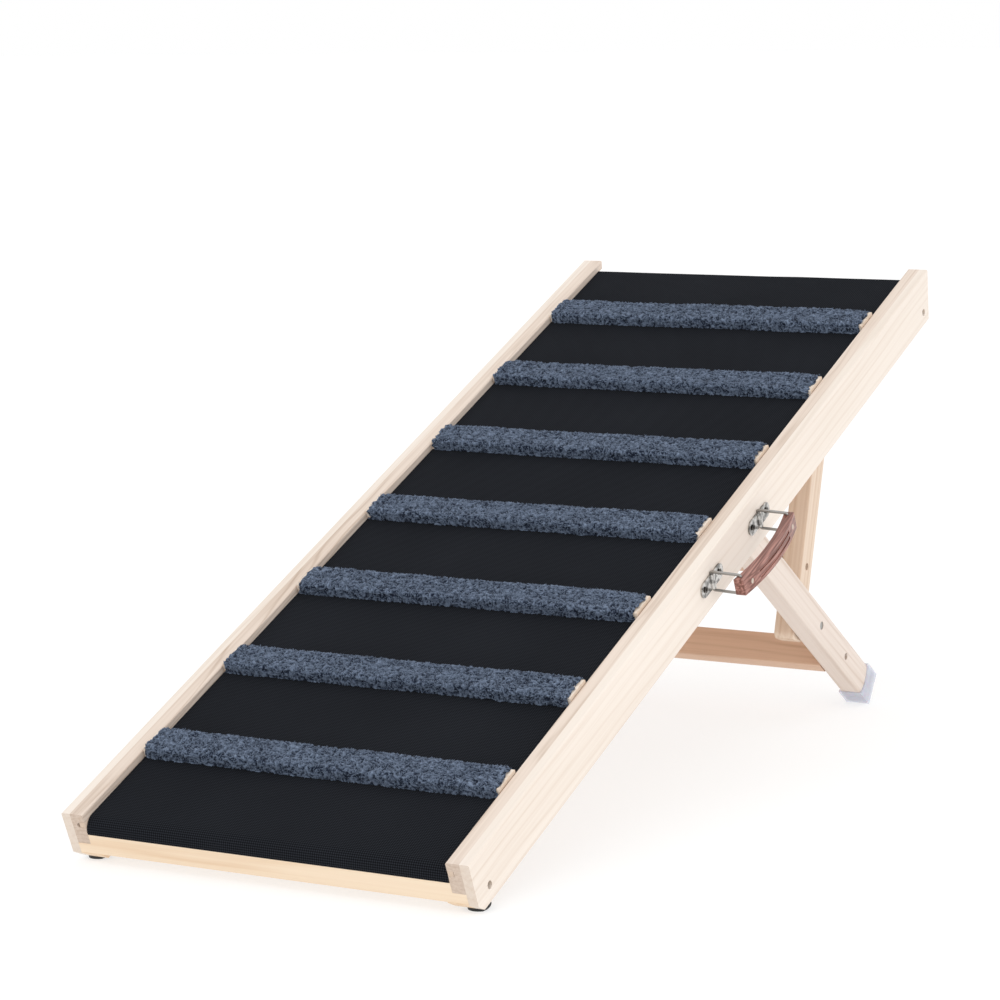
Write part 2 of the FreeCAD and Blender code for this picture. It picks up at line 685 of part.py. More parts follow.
def make_leg_cap(side, sign):
    """The plastic foot cap: a square cup with a dipped rim on its broad faces, flattened
    where it meets the floor."""
    middle = f"{sign} * ({LEG_OUTER} - leg_thickness / 2)"
    rim = "leg_length + cap_floor - cap_height"
    outside = block(doc, f"{side}_cap_outside", "Part::Box",
                    (f"{middle} - leg_thickness / 2 - cap_wall", rim, "-leg_width / 2 - cap_wall"),
                    ("leg_thickness + 2 * cap_wall", "cap_height", "leg_width + 2 * cap_wall"))
    inside = block(doc, f"{side}_cap_inside", "Part::Box",
                   (f"{middle} - leg_thickness / 2 - cap_clearance", rim, "-leg_width / 2 - cap_clearance"),
                   ("leg_thickness + 2 * cap_clearance", "cap_height - cap_floor",
                    "leg_width + 2 * cap_clearance"))
    dip_radius = "((leg_width / 2)^2 + cap_lip_dip^2) / (2 * cap_lip_dip)"
    dip = round_bar(doc, f"{side}_cap_dip", "Part::Cylinder", "x",
                    (f"{middle} - leg_thickness", f"{rim} + cap_lip_dip - {dip_radius}", "0"),
                    dip_radius, "2 * leg_thickness")
    tools = fuse(f"{side}_cap_tools", [inside, dip, floor_tool(f"{side}_cap_floor_tool", LEG)])
    keep(cut(f"{side}_foot_cap", outside, tools), f"{side}_foot_cap", LEG)


def make_leg_crossbar():
    body = new_body("leg_crossbar", LEG)
    half = f"({LEG_INNER})"
    block(body, "leg_crossbar_stock", ADD_BOX,
          (f"-{half}", "leg_bar_station - leg_bar_thickness / 2", "-leg_width / 2"),
          (f"2 * {half}", "leg_bar_thickness", "leg_width"))
    round_edges(body, "rail_edge_radius", lambda e: runs_along(e, 0))


# ---------------------------------------------------------------- strut frame

def make_strut(side, sign):
    """One strut: pivoted on its leg near its square tail, with the rod through its top."""
    body = new_body(f"{side}_strut", STRUT)
    middle = f"{sign} * ({STRUT_OUTER} - strut_thickness / 2)"
    section = outline(body, f"{side}_strut_section", "YZ_Plane", [
        ("-strut_tail", "-strut_width / 2"), ("strut_length", "-strut_width / 2"),
        ("strut_length", "strut_width / 2"), ("-strut_tail", "strut_width / 2")], middle)
    pad(body, section, "strut_thickness", midplane=True)
    start = f"{middle} - strut_thickness / 2"
    round_bar(body, f"{side}_strut_head", ADD_ROUND, "x", (start, "strut_length", "0"),
              "strut_width / 2", "strut_thickness")
    tail = number("-strut_tail")
    round_edges(body, "strut_tail_radius", lambda e: runs_along(e, 0) and e.BoundBox.YMax < tail + 1e-6)
    round_edges(body, "leg_edge_radius", lambda e: (
        runs_along(e, 1) or (runs_along(e, 2) and e.BoundBox.YMax < tail + 1e-6)))
    round_bar(body, f"{side}_strut_pivot_bore", CUT_ROUND, "x", (start, "0", "0"),
              "strut_pivot_radius + running_clearance", "strut_thickness")
    round_bar(body, f"{side}_strut_rod_bore", CUT_ROUND, "x", (start, "strut_length", "0"),
              "strut_rod_radius", "strut_thickness")
    outside = f"{start} + strut_thickness - screw_sink" if sign > 0 else start
    round_bar(body, f"{side}_strut_screw_sink", CUT_ROUND, "x", (outside, "strut_bar_station", "0"),
              "screw_head_radius", "screw_sink")
    doc.recompute()


def make_strut_crossbar():
    body = new_body("strut_crossbar", STRUT)
    half = f"({STRUT_INNER})"
    block(body, "strut_crossbar_stock", ADD_BOX,
          (f"-{half}", "strut_bar_station - strut_bar_thickness / 2", "-strut_width / 2"),
          (f"2 * {half}", "strut_bar_thickness", "strut_width"))
    round_edges(body, "rail_edge_radius", lambda e: runs_along(e, 0))


def make_strut_rod():
    body = new_body("strut_rod", STRUT)
    half = f"({STRUT_OUTER} - moving_gap)"
    round_bar(body, "strut_rod_stock", ADD_ROUND, "x", (f"-{half}", "strut_length", "0"),
              "strut_rod_radius", f"2 * {half}")
    doc.recompute()


# ---------------------------------------------------------------- pivots

def bolt(name, sign, station, stack):
    """A bolt across the ramp, from rounds that each have a name, an inner end, a radius
    and an outer end, on the side with this sign."""
    rounds = []
    for part, inner, radius, outer in stack:
        corner = inner if sign > 0 else f"-({outer})"
        rounds.append(round_bar(doc, f"{name}_{part}", "Part::Cylinder", "x", (corner, station, "0"),
                                radius, f"({outer}) - ({inner})"))
    return fuse(f"{name}_bolt", rounds)


def washer(name, sign, station, inner, outer, radius, bore):
    """A washer between two faces, on the side with this sign."""
    corner = (inner if sign > 0 else f"-({outer})", station, "0")
    depth = f"({outer}) - ({inner})"
    disc = round_bar(doc, f"{name}_disc", "Part::Cylinder", "x", corner, radius, depth)
    hole = round_bar(doc, f"{name}_hole", "Part::Cylinder", "x", corner, bore, depth)
    return cut(f"{name}_washer", disc, hole)


def make_pivots():
    head = f"{LEG_INNER} + moving_gap"
    leg_stack = (
        ("head", head, "pivot_head_radius", f"{LEG_INNER} + pivot_head_depth"),
        ("shank", head, "pivot_radius", f"{WEB_FACE} - joint_clearance"),
    )
    seat = f"{LEG_OUTER} - strut_head_depth"
    nut_end = f"{STRUT_INNER} - moving_gap - strut_nut_length"
    strut_stack = (
        ("head", seat, "strut_head_radius", f"{LEG_OUTER} - 2 * moving_gap"),
        ("shank", nut_end, "strut_pivot_radius", seat),
        ("nut", nut_end, "strut_nut_radius", f"{STRUT_INNER} - moving_gap"),
    )
    bolts, washers, strut_bolts, strut_washers = [], [], [], []
    for side, sign in SIDES.items():
        bolts.append(bolt(f"{side}_pivot", sign, "0", leg_stack))
        washers.append(washer(f"{side}_pivot", sign, "0", f"{LEG_OUTER} + moving_gap", RAIL_FACE,
                              "washer_radius", "pivot_radius"))
        strut_bolts.append(bolt(f"{side}_knee", sign, "strut_pivot_station", strut_stack))
        strut_washers.append(washer(f"{side}_knee", sign, "strut_pivot_station",
                                    f"{STRUT_OUTER} + moving_gap", LEG_INNER,
                                    "0.8 * washer_radius", "strut_pivot_radius"))
    station, drop = number("leg_pivot_station"), number(PIVOT_DROP)
    pivot_frame = RAMP * FreeCAD.Placement(FreeCAD.Vector(0, station, -drop), FreeCAD.Rotation())
    group("leg_pivot_bolts", bolts, pivot_frame)
    group("leg_pivot_washers", washers, pivot_frame)
    group("strut_pivot_bolts", strut_bolts, LEG)
    group("strut_pivot_washers", strut_washers, LEG)


# ---------------------------------------------------------------- wood screws

def make_screws():
    """The screws of all four cross members, each sunk in its counterbore."""
    rail_face = f"({HALF} - screw_sink)"
    leg_face = f"({LEG_OUTER} - screw_sink)"
    strut_face = f"({STRUT_OUTER} - screw_sink)"
    rail, leg, strut = [], [], []
    for side, sign in SIDES.items():
        for index, (station, drop) in enumerate(RAIL_SCREWS):
            rail.append(screw(f"{side}_rail_{index}", (f"{sign} * {rail_face}", station, drop),
                              "x", -sign, "screw_length"))
        leg.append(screw(f"{side}_leg_bar", (f"{sign} * {leg_face}", "leg_bar_station", "0"),
                         "x", -sign, "screw_length"))
        strut.append(screw(f"{side}_strut_bar", (f"{sign} * {strut_face}", "strut_bar_station", "0"),
                           "x", -sign, "screw_length"))
    group("rail_screws", rail, RAMP)
    group("leg_crossbar_screws", leg, LEG)
    group("strut_crossbar_screws", strut, STRUT)


# ---------------------------------------------------------------- carrying handle

WIRE_X = f"({HALF} + bail_wire_radius + running_clearance)"
BEND = "(bail_wire_radius + bail_bend_margin)"
BRACKET_WIDTH = "(bail_width - 2 * (bail_wire_radius + bracket_arm_gap))"
BAIL_LEAN = FreeCAD.Rotation(FreeCAD.Vector(0, 0, 1), -number("bail_lean"))
REACH = FreeCAD.Vector(number("bail_reach"), 0, 0)
GRIP_SHIFT = BAIL_LEAN.multVec(REACH) - REACH
GRIP_PLACE = RAMP * FreeCAD.Placement(GRIP_SHIFT, FreeCAD.Rotation())
GRIP_HEIGHT = "(bail_width - 2 * (bail_wire_radius + grip_side_gap))"


def make_bracket(name, station):
    """A stamped plate with round ends, two screw holes and a raised channel for the wire."""
    body = new_body(name, RAMP)
    y = f"({station})"
    low_z = f"(-handle_drop - {BRACKET_WIDTH} / 2)"
    straight = f"(bracket_length - {BRACKET_WIDTH})"
    block(body, f"{name}_plate", ADD_BOX, (HALF, f"{y} - {straight} / 2", low_z),
          ("bracket_thickness", straight, BRACKET_WIDTH))
    for end in (-1, 1):
        round_bar(body, f"{name}_end{end + 1}", ADD_ROUND, "x",
                  (HALF, f"{y} + {end} * {straight} / 2", "-handle_drop"),
                  f"{BRACKET_WIDTH} / 2", "bracket_thickness")
    channel = "(bail_wire_radius + running_clearance + strap_wall)"
    round_bar(body, f"{name}_channel", ADD_ROUND, "z", (WIRE_X, y, low_z), channel, BRACKET_WIDTH)
    block(body, f"{name}_back", CUT_BOX, (f"{HALF} - 10", f"{y} - 10", f"{low_z} - 1"),
          ("10", "20", f"{BRACKET_WIDTH} + 2"))
    bore = "(bail_wire_radius + running_clearance)"
    round_bar(body, f"{name}_bore", CUT_ROUND, "z", (WIRE_X, y, f"{low_z} - 1"),
              bore, f"{BRACKET_WIDTH} + 2")
    block(body, f"{name}_mouth", CUT_BOX, (f"{HALF} - 1", f"{y} - {bore}", f"{low_z} - 1"),
          (f"{bore} + 1", f"2 * {bore}", f"{BRACKET_WIDTH} + 2"))
    for end in (-1, 1):
        round_bar(body, f"{name}_hole{end + 1}", CUT_ROUND, "x",
                  (HALF, f"{y} + {end} * bracket_screw_spacing / 2", "-handle_drop"),
                  "bracket_screw_radius", "2 * bracket_thickness")
    doc.recompute()


def make_bail(name, station):
    """A rectangular wire ring: its inner side turns in the bracket's channel, and its
    outer side passes through the end of the grip. It stands a little towards the low end."""
    hinge = FreeCAD.Vector(number(WIRE_X), number(station), 0)
    lean = FreeCAD.Placement(FreeCAD.Vector(), BAIL_LEAN, hinge)
    body = new_body(name, RAMP * lean)
    inner, outer = WIRE_X, f"({WIRE_X} + bail_reach)"
    half = "(bail_width / 2)"
    path = body.newObject("Sketcher::SketchObject", f"{name}_path")
    path.AttachmentSupport = [(plane_of(body, "XZ_Plane"), "")]
    path.MapMode = "FlatFace"
    bind(path, AttachmentOffset__Base__z=f"-({station})")
    x0, x1, bend_size = number(inner), number(outer), number(BEND)
    z0, z1 = number(f"-handle_drop - {half}"), number(f"-handle_drop + {half}")
    spans = [((x0, z0 + bend_size), (x0, z1 - bend_size)), ((x0 + bend_size, z1), (x1 - bend_size, z1)),
             ((x1, z1 - bend_size), (x1, z0 + bend_size)), ((x1 - bend_size, z0), (x0 + bend_size, z0))]
    turns = [((x0 + bend_size, z1 - bend_size), 90), ((x1 - bend_size, z1 - bend_size), 0),
             ((x1 - bend_size, z0 + bend_size), 270), ((x0 + bend_size, z0 + bend_size), 180)]
    for (start, end), (centre, angle) in zip(spans, turns):
        path.addGeometry(Part.LineSegment(FreeCAD.Vector(*start, 0), FreeCAD.Vector(*end, 0)), False)
        circle = Part.Circle(FreeCAD.Vector(*centre, 0), FreeCAD.Vector(0, 0, 1), bend_size)
        path.addGeometry(Part.ArcOfCircle(circle, math.radians(angle), math.radians(angle + 90)), False)
    for i in range(4):
        path.addConstraint(Sketcher.Constraint("Tangent", 2 * i, 2, 2 * i + 1, 2))
        path.addConstraint(Sketcher.Constraint("Tangent", 2 * i + 1, 1, (2 * i + 2) % 8, 1))
        path.addConstraint(Sketcher.Constraint("Vertical" if i % 2 == 0 else "Horizontal", 2 * i))
        if i:
            path.addConstraint(Sketcher.Constraint("Equal", 1, 2 * i + 1))
    for kind, line, expression in (
        ("DistanceX", 0, inner), ("DistanceX", 4, outer),
        ("DistanceY", 2, f"-handle_drop + {half}"), ("DistanceY", 6, f"-handle_drop - {half}"),
    ):
        held = path.addConstraint(Sketcher.Constraint(kind, -1, 1, line, 1, number(expression)))
        path.setExpression(f"Constraints[{held}]", cells(expression))
    held = path.addConstraint(Sketcher.Constraint("Radius", 1, bend_size))
    path.setExpression(f"Constraints[{held}]", cells(BEND))
    ring = body.newObject("Sketcher::SketchObject", f"{name}_wire")
    ring.AttachmentSupport = [(plane_of(body, "XY_Plane"), "")]
    ring.MapMode = "FlatFace"
    bind(ring, AttachmentOffset__Base__z="-handle_drop")
    circle = Part.Circle(FreeCAD.Vector(x0, number(station), 0), FreeCAD.Vector(0, 0, 1),
                         number("bail_wire_radius"))
    ring.addGeometry(circle, False)
    for kind, expression in (("DistanceX", inner), ("DistanceY", station)):
        held = ring.addConstraint(Sketcher.Constraint(kind, -1, 1, 0, 3, number(expression)))
        ring.setExpression(f"Constraints[{held}]", cells(expression))
    held = ring.addConstraint(Sketcher.Constraint("Radius", 0, number("bail_wire_radius")))
    ring.setExpression(f"Constraints[{held}]", cells("bail_wire_radius"))
    doc.recompute()
    sweep = body.newObject("PartDesign::AdditivePipe", f"{name}_sweep")
    sweep.Profile = ring
    sweep.Spine = (path, [f"Edge{i + 1}" for i in range(8)])
    doc.recompute()


def make_grip():
    """The moulded grip: a band bowed away from the rail, with two long grooves on its
    outer face, a through hole for a wire near each end and a blind rivet dimple."""
    radius = "((grip_length / 2)^2 + grip_bow^2) / (2 * grip_bow)"
    chord_x = f"({GRIP_CENTRE} + grip_thickness / 2)"
    centre = (f"{chord_x} + grip_bow - {radius}", "handle_station", f"-handle_drop - {GRIP_HEIGHT} / 2")
    outside = round_bar(doc, "grip_outside", "Part::Cylinder", "z", centre, radius, GRIP_HEIGHT)
    inside = round_bar(doc, "grip_inside", "Part::Cylinder", "z", centre,
                       f"{radius} - grip_thickness", GRIP_HEIGHT)
    window = block(doc, "grip_window", "Part::Box",
                   (HALF, "handle_station - grip_length / 2", f"-handle_drop - {GRIP_HEIGHT} / 2"),
                   ("4 * bail_reach", "grip_length", GRIP_HEIGHT))
    band = doc.addObject("Part::Common", "grip_band")
    band.Base = cut("grip_ring", outside, inside)
    band.Tool = window
    tools = []
    for index, place in enumerate((-1, 1)):
        floor = (centre[0], centre[1],
                 f"-handle_drop + {place} * {GRIP_HEIGHT} / 5 - grip_groove_width / 2")
        wide = round_bar(doc, f"groove_{index}_wide", "Part::Cylinder", "z", floor,
                         f"{radius} + 2", "grip_groove_width")
        core = round_bar(doc, f"groove_{index}_core", "Part::Cylinder", "z", floor,
                         f"{radius} - grip_groove_depth", "grip_groove_width")
        full = cut(f"groove_{index}_ring", wide, core)
        span = block(doc, f"groove_{index}_span", "Part::Box",
                     (HALF, "handle_station - grip_length / 2 + 2 * rivet_inset", floor[2]),
                     ("4 * bail_reach", "grip_length - 4 * rivet_inset", "grip_groove_width"))
        short = doc.addObject("Part::Common", f"groove_{index}")
        short.Base = full
        short.Tool = span
        tools.append(short)
    for end in (-1, 1):
        tools.append(round_bar(
            doc, f"grip_bore{end + 1}", "Part::Cylinder", "z",
            (f"{WIRE_X} + bail_reach", f"handle_station + {end} * bail_spacing / 2",
             f"-handle_drop - {GRIP_HEIGHT}"),
            "bail_wire_radius + running_clearance", f"2 * {GRIP_HEIGHT}"))
        tools.append(round_bar(
            doc, f"grip_dimple{end + 1}", "Part::Cylinder", "x",
            (f"{chord_x} + 1", f"handle_station + {end} * (grip_length / 2 - rivet_inset)", "-handle_drop"),
            "rivet_radius", "grip_bow"))
    solid = cut("handle_grip", band, fuse("grip_tools", tools))
    keep(solid, "handle_grip", GRIP_PLACE)


def make_rivets():
    """The pale end rivets that close the grip, one near each end."""
    chord_x = f"({GRIP_CENTRE} + grip_thickness / 2)"
    rivets = []
    for end in (-1, 1):
        rivets.append(round_bar(
            doc, f"grip_rivet{end + 1}", "Part::Cylinder", "x",
            (f"{chord_x} + 1", f"handle_station + {end} * (grip_length / 2 - rivet_inset)", "-handle_drop"),
            "rivet_radius", "2 * grip_groove_depth"))
    group("grip_rivets", rivets, GRIP_PLACE)


def make_handle():
    stations = {
        "lower": "handle_station - bail_spacing / 2",
        "upper": "handle_station + bail_spacing / 2",
    }
    screws = []
    for name, station in stations.items():
        make_bracket(f"{name}_handle_bracket", station)
        make_bail(f"{name}_handle_bail", station)
        for end in (-1, 1):
            screws.append(screw(
                f"{name}_bracket_{end + 1}",
                (f"{HALF} + bracket_thickness + 0.9",
                 f"{station} + {end} * bracket_screw_spacing / 2", "-handle_drop"),
                "x", -1, "bracket_screw_length", "bracket_screw_radius", "bracket_screw_head_radius"))
    group("bracket_screws", screws, RAMP)
    make_grip()
    make_rivets()


# ---------------------------------------------------------------- the whole ramp

def build():
    for side, sign in SIDES.items():
        make_rail(side, sign)
        make_ledge(side, sign)
        make_foot_block(side, sign)
        make_front_pad(side, sign)
        make_pivot_block(side, sign)
        make_rack(side, sign)
        make_leg(side, sign)
        make_leg_cap(side, sign)
        make_strut(side, sign)
    make_front_crossbar()
    make_top_crossbar()
    make_deck_board()
    make_deck_fabric()
    for index in range(TREAD_COUNT):
        make_tread(index)
    make_tread_screws()
    make_leg_crossbar()
    make_strut_crossbar()
    make_strut_rod()
    make_pivots()
    make_screws()
    make_handle()
    doc.recompute()


def write_parts():
    for thing in doc.Objects:
        faults = [state for state in thing.State if state in ("Invalid", "Error")]
        if faults:
            raise RuntimeError(f"{thing.Name} is {faults}")
    os.makedirs("parts", exist_ok=True)
    for piece in pieces:
        if piece.Shape.isNull() or not piece.Shape.isValid() or not piece.Shape.Solids:
            raise RuntimeError(f"{piece.Label} has no sound solid")
        piece.Shape.exportStep(f"parts/{piece.Label}.step")
        print(f"{piece.Label}: {len(piece.Shape.Solids)} solid, {piece.Shape.Volume / 1000:.1f} cm3")


build()
write_parts()
pivots = {name: RAMP.multVec(FreeCAD.Vector(*[number(c) for c in point])) for name, point in {
    "leg pivot": ("0", "leg_pivot_station", f"-{PIVOT_DROP}"),
    "lower bail": (WIRE_X, "handle_station - bail_spacing / 2", "-handle_drop"),
    "upper bail": (WIRE_X, "handle_station + bail_spacing / 2", "-handle_drop"),
    "grip": (f"{WIRE_X} + bail_reach", "handle_station - bail_spacing / 2", "-handle_drop"),
}.items()}
pivots["strut pivot"] = STRUT.Base
pivots["grip"] = pivots["grip"] + RAMP.Rotation.multVec(GRIP_SHIFT)
for name, point in pivots.items():
    print(f"{name}: {point.x:.4f} {point.y:.4f} {point.z:.4f}")
print(f"slope {math.degrees(RAMP.Rotation.Angle):.5f}, leg {leg_degrees:.5f}, strut {strut_degrees:.5f}")
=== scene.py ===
# %% [markdown]
# # A folding dog ramp
#
# The ramp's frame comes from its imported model, and these cells give it its looks: sanded
# pine, a woven deck, curly plush treads, nickel fittings and a moulded grip. All lengths
# are in metres, and z is up.

# %% Load the frame
import json
import math

import bpy
import numpy as np
from mathutils import Matrix, Vector


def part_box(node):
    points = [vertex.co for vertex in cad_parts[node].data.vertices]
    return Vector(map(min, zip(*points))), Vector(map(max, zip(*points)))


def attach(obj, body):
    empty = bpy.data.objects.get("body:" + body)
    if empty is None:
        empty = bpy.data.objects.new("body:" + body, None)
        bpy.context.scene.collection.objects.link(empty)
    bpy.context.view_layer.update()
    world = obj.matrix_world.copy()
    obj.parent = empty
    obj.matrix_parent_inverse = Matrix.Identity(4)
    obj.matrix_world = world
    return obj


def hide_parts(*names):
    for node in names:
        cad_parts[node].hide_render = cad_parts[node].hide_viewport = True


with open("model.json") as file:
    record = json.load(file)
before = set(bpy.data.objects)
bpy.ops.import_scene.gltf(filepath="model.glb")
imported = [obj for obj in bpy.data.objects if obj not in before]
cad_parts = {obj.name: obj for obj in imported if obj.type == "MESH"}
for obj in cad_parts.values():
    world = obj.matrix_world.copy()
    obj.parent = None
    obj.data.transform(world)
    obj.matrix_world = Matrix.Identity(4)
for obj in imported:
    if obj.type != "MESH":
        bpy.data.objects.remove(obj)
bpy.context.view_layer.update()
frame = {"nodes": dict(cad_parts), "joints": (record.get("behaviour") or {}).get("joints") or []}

# %% [markdown]
# ## The ramp's own axes
#
# Nearly every piece runs along the rails, across them, or square to the deck. The slope
# of the deck isn't typed in: the grip's hinge stands square to the deck, so its axis
# gives it. `place` then turns ramp coordinates (across, along, out) into the frame.

# %% Ramp axes and a datum
joints = {joint["name"]: joint for joint in frame["joints"]}
OUT = np.array(joints["lower_bail_swing"]["axis"], float)
ACROSS = np.array([1.0, 0.0, 0.0])
ALONG = np.cross(OUT, ACROSS)
SLOPE = math.atan2(ALONG[2], ALONG[1])


def corners(node):
    """The node's vertices as an array of points."""
    mesh = frame["nodes"][node].data
    points = np.zeros(len(mesh.vertices) * 3, np.float32)
    mesh.vertices.foreach_get("co", points)
    return points.reshape(-1, 3).astype(float)


def extent(node, axis):
    """The node's lowest and highest distance along a unit axis."""
    reach = corners(node) @ axis
    return reach.min(), reach.max()


rail_low, rail_high = extent("left_rail", ALONG)
print(f"slope {math.degrees(SLOPE):.2f} degrees, rails {rail_high - rail_low:.3f} m long")


def place(across, along, out):
    """Ramp coordinates, as arrays of one shape, to points (n, 3) of the frame."""
    across, along, out = np.broadcast_arrays(across, along, out)
    flat = [part.ravel()[:, None] for part in (across, along, out)]
    return flat[0] * ACROSS + flat[1] * ALONG + flat[2] * OUT


# %% [markdown]
# ## Meshes from grids
#
# Each cloth piece is a grid of points that a formula bends. Building the faces from an
# index array keeps it quick, and the grid's own two directions make its UV map, in
# metres, so a weave keeps its real size.

# %% Mesh helpers
def grid_faces(rows, columns):
    """Quads of a rows x columns grid of points, as index rows (n, 4)."""
    index = np.arange(rows * columns).reshape(rows, columns)
    return np.stack(
        [index[:-1, :-1], index[:-1, 1:], index[1:, 1:], index[1:, :-1]], axis=-1
    ).reshape(-1, 4)


def new_piece(name, points, faces, uv=None, smooth=True):
    """A mesh object from arrays, with an optional UV pair for each point."""
    mesh = bpy.data.meshes.new(name)
    mesh.from_pydata(points.tolist(), [], faces.tolist())
    if uv is not None:
        layer = mesh.uv_layers.new(name="UVMap")
        layer.data.foreach_set("uv", uv[faces.ravel()].astype(np.float32).ravel())
    mesh.polygons.foreach_set("use_smooth", np.full(len(mesh.polygons), smooth))
    mesh.update()
    piece = bpy.data.objects.new(name, mesh)
    bpy.context.scene.collection.objects.link(piece)
    return piece


TABLE_SIDE = 512


def lattice_noise(u, v, seed):
    """Smooth noise from 0 to 1: random values on whole numbers, blended between with
    3t^2 - 2t^3 along both directions."""
    table = np.random.default_rng(seed).random((TABLE_SIDE, TABLE_SIDE))
    iu, iv = np.floor(u).astype(int), np.floor(v).astype(int)
    fu, fv = u - iu, v - iv
    su, sv = fu * fu * (3 - 2 * fu), fv * fv * (3 - 2 * fv)

    def row(which):
        """The values along u on one row of the table."""
        here = table[iu % TABLE_SIDE, which % TABLE_SIDE]
        beyond = table[(iu + 1) % TABLE_SIDE, which % TABLE_SIDE]
        return here * (1 - su) + beyond * su

    return row(iv) * (1 - sv) + row(iv + 1) * sv


# %% [markdown]
# ## Shader maths as expressions
#
# A procedural material is a long sum, and a sum is easiest to read as one. `Field` wraps
# one output socket and overloads the operators, and `Look` starts a material and adds any
# other node. Constants go straight onto the socket that uses them.

# %% A small material language
# The Mix node keeps sockets for every data type, and these are the ones for colours.
MIX_SHARE, MIX_FIRST, MIX_SECOND, MIX_COLOR = 0, 6, 7, 2


class Field:
    """One output socket of a material, with arithmetic."""

    def __init__(self, look, socket):
        self.look = look
        self.socket = socket

    def math(self, operation, *values):
        settings = {"operation": operation}
        return self.look.node("ShaderNodeMath", settings, dict(enumerate(values)))

    def __add__(self, other):
        return self.math("ADD", self, other)

    def __sub__(self, other):
        return self.math("SUBTRACT", self, other)

    def __mul__(self, other):
        return self.math("MULTIPLY", self, other)

    def __pow__(self, other):
        return self.math("POWER", self, other)

    def sine(self):
        return self.math("SINE", self)

    def size(self):
        return self.math("ABSOLUTE", self)

    def between(self, low, high):
        """0 below low, 1 above high, and a smooth step from one to the other."""
        return self.look.node(
            "ShaderNodeMapRange",
            {"interpolation_type": "SMOOTHSTEP"},
            {"Value": self, "From Min": low, "From Max": high},
        )


class Look:
    """A material with a Principled shader, built node by node. The constants are the
    shader's own inputs, with an underscore for each space."""

    def __init__(self, name, **constants):
        self.material = bpy.data.materials.new(name)
        self.material.use_nodes = True
        self.tree = self.material.node_tree
        self.shader = self.tree.nodes["Principled BSDF"]
        for socket, value in constants.items():
            self.set(self.shader, socket.replace("_", " "), value)

    def set(self, node, socket, value):
        """Links a field to an input, or puts a constant on it."""
        if isinstance(value, Field):
            self.tree.links.new(value.socket, node.inputs[socket])
        elif node.inputs[socket].type == "RGBA" and len(value) == 3:
            node.inputs[socket].default_value = (*value, 1.0)
        else:
            node.inputs[socket].default_value = value

    def node(self, kind, settings=None, values=None, output=0):
        """Adds a node: its type, its settings, its inputs, and the output that's used."""
        made = self.tree.nodes.new(kind)
        for key, value in (settings or {}).items():
            setattr(made, key, value)
        for socket, value in (values or {}).items():
            self.set(made, socket, value)
        return Field(self, made.outputs[output])

    def mapped(self, vector, **values):
        """A vector through a Mapping node."""
        return self.node("ShaderNodeMapping", {}, {"Vector": vector, **values})

    def coordinates(self, turn=(0.0, 0.0, 0.0), scale=(1.0, 1.0, 1.0), move=(0.0, 0.0, 0.0)):
        """Object coordinates in metres: turned, then scaled and moved."""
        place_of = self.node("ShaderNodeTexCoord", output="Object")
        return self.mapped(self.mapped(place_of, Rotation=turn), Scale=scale, Location=move)

    def noise(self, vector, scale=1.0, detail=2.0, roughness=0.5):
        values = {"Vector": vector, "Scale": scale, "Detail": detail, "Roughness": roughness}
        return self.node("ShaderNodeTexNoise", {}, values)

    def parts(self, vector):
        """The x, y and z of a vector."""
        split = self.node("ShaderNodeSeparateXYZ", {}, {"Vector": vector}).socket.node
        return [Field(self, socket) for socket in split.outputs]

    def mix(self, share, first, second):
        """A colour that goes from first to second as share goes from 0 to 1."""
        colors = {MIX_SHARE: share, MIX_FIRST: first, MIX_SECOND: second}
        return self.node("ShaderNodeMix", {"data_type": "RGBA"}, colors, output=MIX_COLOR)

    def finish(self, color, roughness=None, height=None, depth=0.0002, strength=0.5):
        """Sets what varies over the surface: colour, roughness and a bump's height."""
        self.set(self.shader, "Base Color", color)
        if roughness is not None:
            self.set(self.shader, "Roughness", roughness)
        if height is not None:
            values = {"Height": height, "Distance": depth, "Strength": strength}
            self.set(self.shader, "Normal", self.node("ShaderNodeBump", {}, values))
        return self.material


def paint(material, *nodes):
    """Gives CAD nodes one material."""
    for node in nodes:
        mesh = frame["nodes"][node].data
        mesh.materials.clear()
        mesh.materials.append(material)


# %% [markdown]
# ## Sanded pine
#
# A board is a slice through a tree, so its grain is a set of nested rings cut nearly
# along their length: long, almost parallel bands that drift slowly. The bands here are a
# sine of the distance from a far-off heart, pushed about by stretched noise, with fine
# pores on top. Each board gets its own turn and its own place in the tree. Where a face
# cuts the grain, as at a board's end, the wood is darker.

